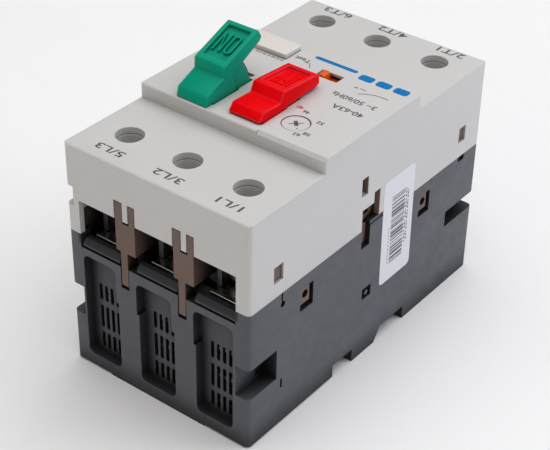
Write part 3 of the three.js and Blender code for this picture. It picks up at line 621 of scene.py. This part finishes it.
def ring(cx, cy, half_w, half_h, line):
    """The two outlines of a tall O, as left and right halves that meet in the middle."""
    halves = []
    r_out, r_in = half_w, half_w - line
    middle_step = RING_STEPS // 2
    for side in (-1, 1):
        outer, inner = [], []
        for i in range(RING_STEPS + 1):
            t = math.radians(90 - 180 * i / RING_STEPS)
            lift = half_h - half_w if i < middle_step else (half_w - half_h if i > middle_step else 0)
            outer.append((cx + side * r_out * math.cos(t), cy + r_out * math.sin(t) + lift))
            inner.append((cx + side * r_in * math.cos(t), cy + r_in * math.sin(t) + lift))
        halves.append(outer + list(reversed(inner)))
    return halves


def letter_n(x0, x1, h, t):
    diagonal_low, diagonal_high = N_CORNER + t - h, h - N_CORNER - t
    return [
        (x0, -h), (x0 + t, -h), (x0 + t, diagonal_high), (x1 - t, -h), (x1, -h),
        (x1, h), (x1 - t, h), (x1 - t, diagonal_low), (x0 + t, h), (x0, h),
    ]


def letter_f(x0, x1, h, t):
    bar_end = x1 - F_MIDDLE_SHORTER
    bar_low, bar_high = F_MIDDLE_RISE * 2 * h - t / 2, F_MIDDLE_RISE * 2 * h + t / 2
    return [
        (x0, -h), (x0 + t, -h), (x0 + t, bar_low), (bar_end, bar_low), (bar_end, bar_high),
        (x0 + t, bar_high), (x0 + t, h - t), (x1, h - t), (x1, h), (x0, h),
    ]


def letter_shapes(words, letter_w, gap):
    """Upright narrow capitals O, N and F as outlines in mm, centred on 0, 0."""
    t, h = LETTER_STROKE, LETTER_HEIGHT / 2
    shapes = []
    x = -(len(words) * letter_w + (len(words) - 1) * gap) / 2
    for letter in words:
        x1 = x + letter_w
        if letter == "O":
            shapes += ring(x + letter_w / 2, 0, letter_w / 2, h, t)
        elif letter == "N":
            shapes.append(letter_n(x, x1, h, t))
        else:
            shapes.append(letter_f(x, x1, h, t))
        x = x1 + gap
    return shapes


def lever_word(name, words, lever, letter_w, gap, rise):
    """A raised word in the recess of a lever's plate. Widths, gap and rise are in mm."""
    y = RECESS_MIDDLE
    z = LEVER_TOP_AT[1] + LEVER_TOP_SLOPE * (y - LEVER_TOP_AT[0]) - RECESS_DEPTH
    place = (
        at_lever_pivot(lever)
        @ Matrix.Translation((0, y, z - WORD_SINK))
        @ Matrix.Rotation(math.atan(LEVER_TOP_SLOPE), 4, "X")
        @ Matrix.Rotation(math.pi, 4, "Z")
    )
    shapes = letter_shapes(words, letter_w, gap)
    obj = prism(name, shapes, rise * MM, place, lever, WORD_LOOKS[lever], SLOT_OF[lever])
    bevel = obj.modifiers.new("edges", "BEVEL")
    bevel.width = WORD_BEVEL
    bevel.segments = 2
    bevel.limit_method = "ANGLE"


# ---------------------------------------------------------------- sticker on the right side
STICKER_Y = (5.0, 22.0)
STICKER_Z = (22.3, 61.5)
STICKER_CORNER = 1.7
STICKER_TILT = 0.8  # degrees, as it was stuck on
STICKER_T = 0.08 * MM
STICKER_PRINT_T = 0.02 * MM
BAR_HALF_LENGTH = 3.6
BARS_FROM_FOOT, BARS_FROM_HEAD = 6.5, 7.2
BAR_WIDTHS = (0.35, 0.2, 0.55, 0.2, 0.8, 0.3)
BAR_GAPS = (0.45, 0.3, 0.75, 0.35)
PRINT_COLUMNS = ((4.1, -9, 16), (5.1, -8.5, 15))  # place, start and number of dashes
PRINT_STEP, PRINT_WIDTH, LONG_DASH, SHORT_DASH = 1.35, 0.5, 0.95, 0.5
PALE_COLUMN = (-4.9, -4.5)
PALE_START, PALE_STEP, PALE_LENGTH, PALE_COUNT = -12.5, 1.3, 0.8, 11


def sticker_bars(half_h):
    """Bars of uneven widths and gaps that repeat in no plain order and mean nothing."""
    bars = []
    low = -half_h + BARS_FROM_FOOT
    i = 0
    while low < half_h - BARS_FROM_HEAD:
        width = BAR_WIDTHS[(i * 5 + i // 3) % len(BAR_WIDTHS)]
        bars.append(rectangle(-BAR_HALF_LENGTH, BAR_HALF_LENGTH, low, low + width))
        low += width + BAR_GAPS[(i * 3 + i // 4) % len(BAR_GAPS)]
        i += 1
    return bars


def sticker_dashes():
    """Two columns of dashes in place of words."""
    dashes = []
    for column, (a, start, count) in enumerate(PRINT_COLUMNS):
        for k in range(count):
            low = start + k * PRINT_STEP
            length = LONG_DASH if (k + column) % 3 else SHORT_DASH
            dashes.append(rectangle(a, a + PRINT_WIDTH, low, low + length))
    return dashes


def side_sticker():
    (y0, y1), (z0, z1) = STICKER_Y, STICKER_Z
    half_w, half_h = (y1 - y0) / 2, (z1 - z0) / 2
    plane = (
        Matrix.Translation((SIDE_X, (y0 + y1) / 2 * MM, (z0 + z1) / 2 * MM))
        @ YZ_PLANE
        @ Matrix.Rotation(math.radians(STICKER_TILT), 4, "Z")
    )
    outline = rounded_rectangle(-half_w, half_w, -half_h, half_h, STICKER_CORNER)
    prism("side_sticker", [outline], STICKER_T, plane, "root", STICKER, "marker_white")
    over = plane @ Matrix.Translation((0, 0, STICKER_T))
    prism("sticker_bars", sticker_bars(half_h), STICKER_PRINT_T, over, **GREY_PRINT)
    starts = [PALE_START + PALE_STEP * k for k in range(PALE_COUNT)]
    pale = [rectangle(*PALE_COLUMN, low, low + PALE_LENGTH) for low in starts]
    prism("sticker_small_print", pale, STICKER_PRINT_T, over, **PALE_PRINT)
    prism("sticker_print", sticker_dashes(), STICKER_PRINT_T, over, **GREY_PRINT)


# ---------------------------------------------------------------- brown edges seen in narrow gaps
SLOT_EDGES = ((-4.3, 62.8, 69.0), (2.6, 50.7, 61.2))  # y, low z and high z of a slot's far wall
SLOT_EDGE_DEPTH = (2.0, 0.15)  # from the side inwards, to the edge's two ends
SLOT_EDGE_T = 0.15 * MM
SLOT_FACE = (-4.0, -1.95, 43.2, 50.6)  # y and z of the frame's face behind the slot of the base
SLOT_FACE_DEPTH = 1.9 * MM
SLOT_FACE_T = 0.1 * MM
BROWN_EDGE = {"body": "root", "material": EDGE_BROWN, "slot_name": "frame_brown"}


def slot_edges():
    """The frame's brown in the narrow slots of the sides: an edge in the cover's, a face in the base's."""
    upright = Matrix.Rotation(math.radians(90), 4, "X")
    for side, name in ((1, "right"), (-1, "left")):
        x0, x1 = sorted(side * (SIDE_X / MM - depth) for depth in SLOT_EDGE_DEPTH)
        for number, (y, low, high) in enumerate(SLOT_EDGES, 1):
            plane = Matrix.Translation((0, y * MM, 0)) @ upright
            edge = rectangle(x0, x1, low, high)
            prism(f"slot_edge_{name}_{number}", [edge], SLOT_EDGE_T, plane, **BROWN_EDGE)
        plane = Matrix.Translation((side * (SIDE_X - SLOT_FACE_DEPTH), 0, 0)) @ YZ_PLANE
        prism(f"slot_face_{name}", [rectangle(*SLOT_FACE)], SLOT_FACE_T, plane, **BROWN_EDGE)


BACK_INNER, BACK_OUTER = 19.72, 20.2  # radii of the strip about the lever's pivot
BACK_FIRST, BACK_LAST = -10, 17  # its angles
BACK_STEPS = 8
BACK_HALF_WIDTH = 4.9


def lever_backs():
    """A brown strip over the curved back of each lever."""
    spread = BACK_LAST - BACK_FIRST
    angles = [math.radians(BACK_FIRST + spread * i / BACK_STEPS) for i in range(BACK_STEPS + 1)]
    outline = [(BACK_INNER * math.cos(a), BACK_INNER * math.sin(a)) for a in angles]
    outline += [(BACK_OUTER * math.cos(a), BACK_OUTER * math.sin(a)) for a in reversed(angles)]
    for lever in LEVERS:
        plane = at_lever_pivot(lever) @ Matrix.Translation((-BACK_HALF_WIDTH * MM, 0, 0)) @ YZ_PLANE
        prism(f"{lever}_back", [outline], 2 * BACK_HALF_WIDTH * MM, plane, lever, LOOKS["frame_brown"],
              "frame_brown")


# ---------------------------------------------------------------- coil springs
STEPS_A_TURN = 20
WIRE_SIDES = 10
CLOSED_TURNS = 0.9  # turns that lie flat, half of them at each end
LEVER_COIL = {"radius": 2.3 * MM, "wire": 0.7 * MM, "turns": 6}
LATCH_COIL = {"radius": 1.1 * MM, "wire": 0.45 * MM, "turns": 8}
CONTACT_COIL = {"radius": 3.6 * MM, "wire": 0.7 * MM, "turns": 4.5}


def coil(name, node, body, start, length, axis, radius, wire, turns):
    """A round-wire compression spring with closed ends, standing on start along axis."""
    turn = Vector(axis).to_track_quat("Z", "Y").to_matrix()
    up = Vector((0, 0, 1))
    bm = bmesh.new()
    rings = []
    total = int(turns * STEPS_A_TURN)
    flat = CLOSED_TURNS / turns
    for i in range(total + 1):
        t = i / total
        ramp = min(1, max(0, (t - flat / 2) / (1 - flat)))
        height = wire / 2 + (length - wire) * ramp
        angle = 2 * math.pi * turns * t
        centre = Vector((radius * math.cos(angle), radius * math.sin(angle), height))
        out = Vector((math.cos(angle), math.sin(angle), 0))
        around = []
        for s in range(WIRE_SIDES):
            b = 2 * math.pi * s / WIRE_SIDES
            point = centre + wire / 2 * (math.cos(b) * out + math.sin(b) * up)
            around.append(bm.verts.new(Vector(start) + turn @ point))
        rings.append(around)
    for first, second in zip(rings, rings[1:]):
        for s in range(WIRE_SIDES):
            u = (s + 1) % WIRE_SIDES
            bm.faces.new((first[s], first[u], second[u], second[s]))
    bm.faces.new(list(reversed(rings[0])))
    bm.faces.new(rings[-1])
    bmesh.ops.recalc_face_normals(bm, faces=bm.faces)
    for face in bm.faces:
        face.smooth = len(face.verts) == 4
    mesh = bpy.data.meshes.new(name)
    bm.to_mesh(mesh)
    bm.free()
    obj = piece(name, mesh, body, LOOKS["steel"])
    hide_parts(node)
    return obj


def springs():
    low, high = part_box("lever_spring")
    at = ((low.x + high.x) / 2, (low.y + high.y) / 2, low.z)
    rise = high.z - low.z
    lever = coil("lever_spring_coil", "lever_spring", "root", at, rise, (0, 0, 1), **LEVER_COIL)
    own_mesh(lever)
    low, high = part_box("din_latch_spring")
    at = ((low.x + high.x) / 2, high.y, (low.z + high.z) / 2)
    run = high.y - low.y
    latch = coil("latch_spring_coil", "din_latch_spring", "root", at, run, (0, -1, 0), **LATCH_COIL)
    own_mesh(latch)
    for pole in POLES:
        node = f"contact_spring_{pole}"
        low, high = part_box(node)
        at = ((low.x + high.x) / 2, (low.y + high.y) / 2, low.z)
        rise = high.z - low.z
        coil(f"{node}_coil", node, "contact_carriage", at, rise, (0, 0, 1), **CONTACT_COIL)


terminal_marks()
dial_marks()
front_prints()
lever_word("on_word", "ON", "on_lever", letter_w=3.1, gap=0.8, rise=0.9)
lever_word("off_word", "OFF", "off_lever", letter_w=2.1, gap=0.55, rise=0.25)
side_sticker()
slot_edges()
lever_backs()
springs()

# ---------------------------------------------------------------- floor, light and camera
FLOOR_SIZE = 6.0
FLOOR_DROP = 0.02 * MM  # below the object, so that no two faces lie in one plane
WORLD_STRENGTH = 0.28
LIGHTS_AIM = Vector((0, 0, 0.05))
# the camera, as fitted to the photo
AIM = Vector((-0.0114, 0.0112, 0.0227))
DISTANCE = 0.5
AZIMUTH = 37.13
ELEVATION = 34.61
ROLL = 1.24
LENS = 97.2
SENSOR = 36


def floor():
    bm = bmesh.new()
    bmesh.ops.create_grid(bm, x_segments=2, y_segments=2, size=FLOOR_SIZE / 2)
    mesh = bpy.data.meshes.new("floor")
    bm.to_mesh(mesh)
    bm.free()
    obj = bpy.data.objects.new("floor", mesh)
    obj.location.z = CAD_BOX[0][2] - FLOOR_DROP
    bpy.context.scene.collection.objects.link(obj)
    n = Nodes("floor_paper")
    colour = n.mix(n.spread(n.noise(6, 3), 0, 1), (0.95, 0.95, 0.95), (0.98, 0.98, 0.98))
    rough = n.spread(n.noise(40, 2), 0.7, 0.85)
    mesh.materials.append(n.finish(colour, rough, n.bump(n.noise(300, 2), 0.05, 0.1 * MM), 0.2))


def soft_light(name, size, energy, at, colour=(1, 1, 1)):
    data = bpy.data.lights.new(name, "AREA")
    data.shape = "SQUARE"
    data.size = size
    data.energy = energy
    data.color = colour
    obj = bpy.data.objects.new(name, data)
    obj.location = at
    obj.rotation_euler = (LIGHTS_AIM - Vector(at)).to_track_quat("-Z", "Y").to_euler()
    bpy.context.scene.collection.objects.link(obj)


def studio():
    world = bpy.data.worlds.new("studio")
    world.use_nodes = True
    back = world.node_tree.nodes["Background"]
    back.inputs["Color"].default_value = (1, 1, 1, 1)
    back.inputs["Strength"].default_value = WORLD_STRENGTH
    bpy.context.scene.world = world
    soft_light("top_light", size=2.4, energy=25.5, at=(0.15, 0.3, 1.5))
    soft_light("right_light", size=0.8, energy=5.1, at=(1.15, 0.95, 0.5), colour=(0.75, 0.78, 1.0))
    soft_light("front_light", size=1.0, energy=2.0, at=(-0.5, -1.3, 0.7), colour=(1.0, 0.8, 0.7))


def camera():
    data = bpy.data.cameras.new("camera")
    data.lens = LENS
    data.sensor_width = SENSOR
    data.clip_start = 0.01
    obj = bpy.data.objects.new("camera", data)
    az, el = math.radians(AZIMUTH), math.radians(ELEVATION)
    back = Vector((math.sin(az) * math.cos(el), -math.cos(az) * math.cos(el), math.sin(el)))
    obj.location = AIM + DISTANCE * back
    facing = (-back).to_track_quat("-Z", "Y").to_matrix().to_4x4()
    obj.rotation_euler = (facing @ Matrix.Rotation(math.radians(ROLL), 4, "Z")).to_euler()
    bpy.context.scene.collection.objects.link(obj)
    bpy.context.scene.camera = obj


floor()
studio()
camera()
bpy.context.scene.view_settings.view_transform = "Standard"
